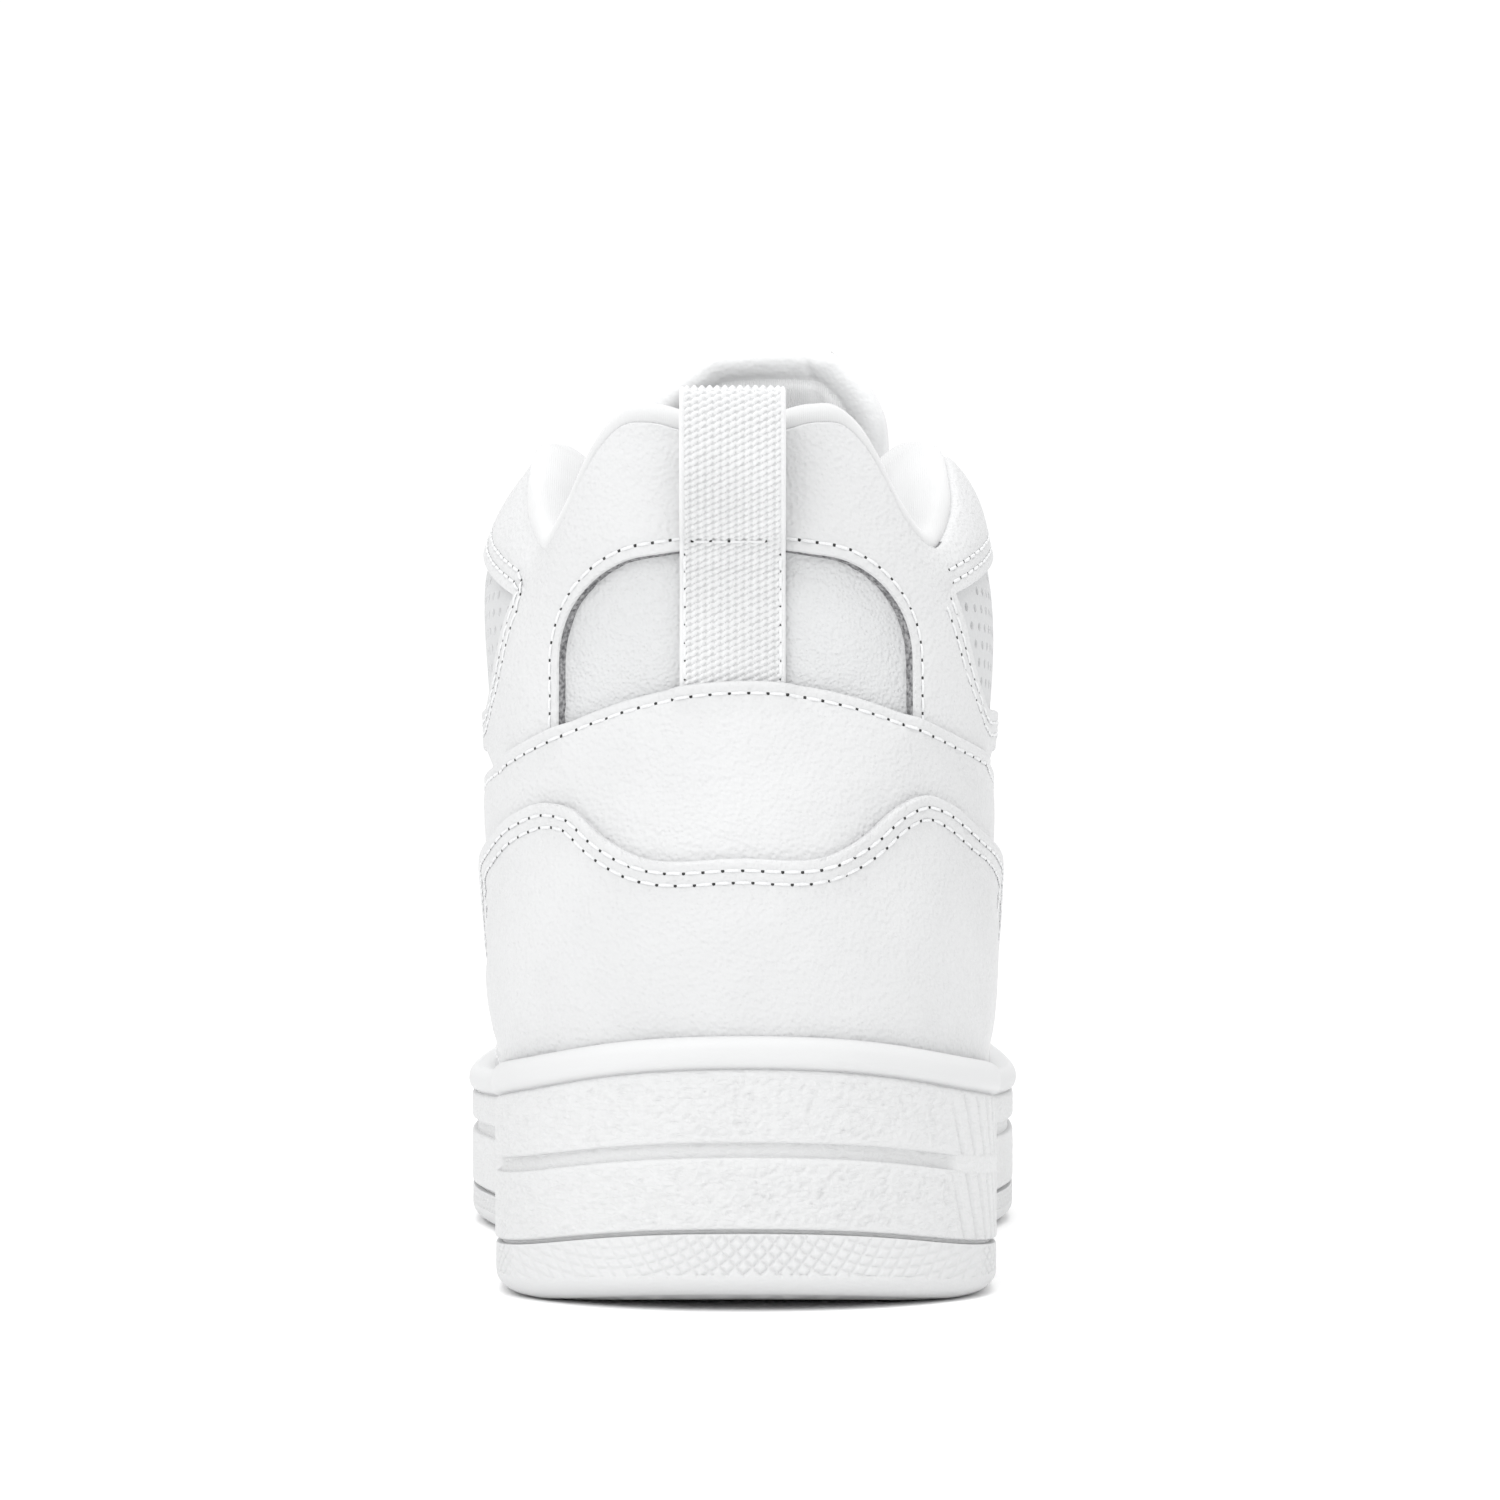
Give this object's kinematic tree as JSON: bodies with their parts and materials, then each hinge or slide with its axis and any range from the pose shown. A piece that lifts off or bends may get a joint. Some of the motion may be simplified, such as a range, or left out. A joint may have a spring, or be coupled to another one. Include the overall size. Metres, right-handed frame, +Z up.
{
  "type": "basketball high top",
  "caption": "White leather high top basketball shoe for the left foot, with a padded ankle collar, overlaid panels, a rubber cup sole and a webbing pull loop.",
  "frame": {"origin": "centre of the bounding box in plan, on the ground under the sole", "axes": "+Z up, +Y from heel to toe, +X towards the inner (medial) side of the left foot"},
  "size_m": [0.1069, 0.2994, 0.1622],
  "materials": {
    "leather": "satin",
    "leather_inset": "satin",
    "leather_perforated": "satin",
    "lining_fabric": "matte",
    "sockliner_fabric": "matte",
    "lace_fabric": "matte",
    "webbing": "matte",
    "midsole_rubber": "satin",
    "outsole_rubber": "matte",
    "foam": "matte",
    "fibre_board": "matte"
  },
  "bodies": {
    "shoe": {"outsole": "outsole_rubber", "midsole_cup": "midsole_rubber", "midsole_foam": "foam", "insole_board": "fibre_board", "sockliner": "sockliner_fabric", "vamp": "leather", "heel_panel": "leather_inset", "quarter_lateral": "leather_perforated", "quarter_medial": "leather_perforated", "toe_overlay": "leather", "eyestay_lateral": "leather", "eyestay_medial": "leather", "collar_overlay": "leather", "heel_band": "leather", "heel_counter": "leather", "collar_foam": "foam", "collar_lining": "lining_fabric", "vamp_lining": "lining_fabric", "toe_puff": "fibre_board", "counter_stiffener": "fibre_board", "tongue_shell": "leather", "tongue_foam": "foam", "tongue_lining": "lining_fabric", "lace": "lace_fabric", "pull_strap_base": "webbing"},
    "tongue_top": {"tongue_top_shell": "leather", "tongue_top_foam": "foam", "tongue_top_lining": "lining_fabric"},
    "pull_strap": {"pull_loop": "webbing"}
  },
  "joints": [
    {"name": "tongue_flex", "type": "hinge", "parent": "shoe", "child": "tongue_top", "pos_m": [0.00075, -0.027, 0.133], "axis": [1, 0, 0], "range_deg": [-35, 12], "stiffness_Nm_per_rad": 0.12},
    {"name": "pull_loop_swing", "type": "hinge", "parent": "shoe", "child": "pull_strap", "pos_m": [-0.00145, -0.1386, 0.124], "axis": [1, 0, 0], "range_deg": [0, 80], "stiffness_Nm_per_rad": 0.01}
  ]
}
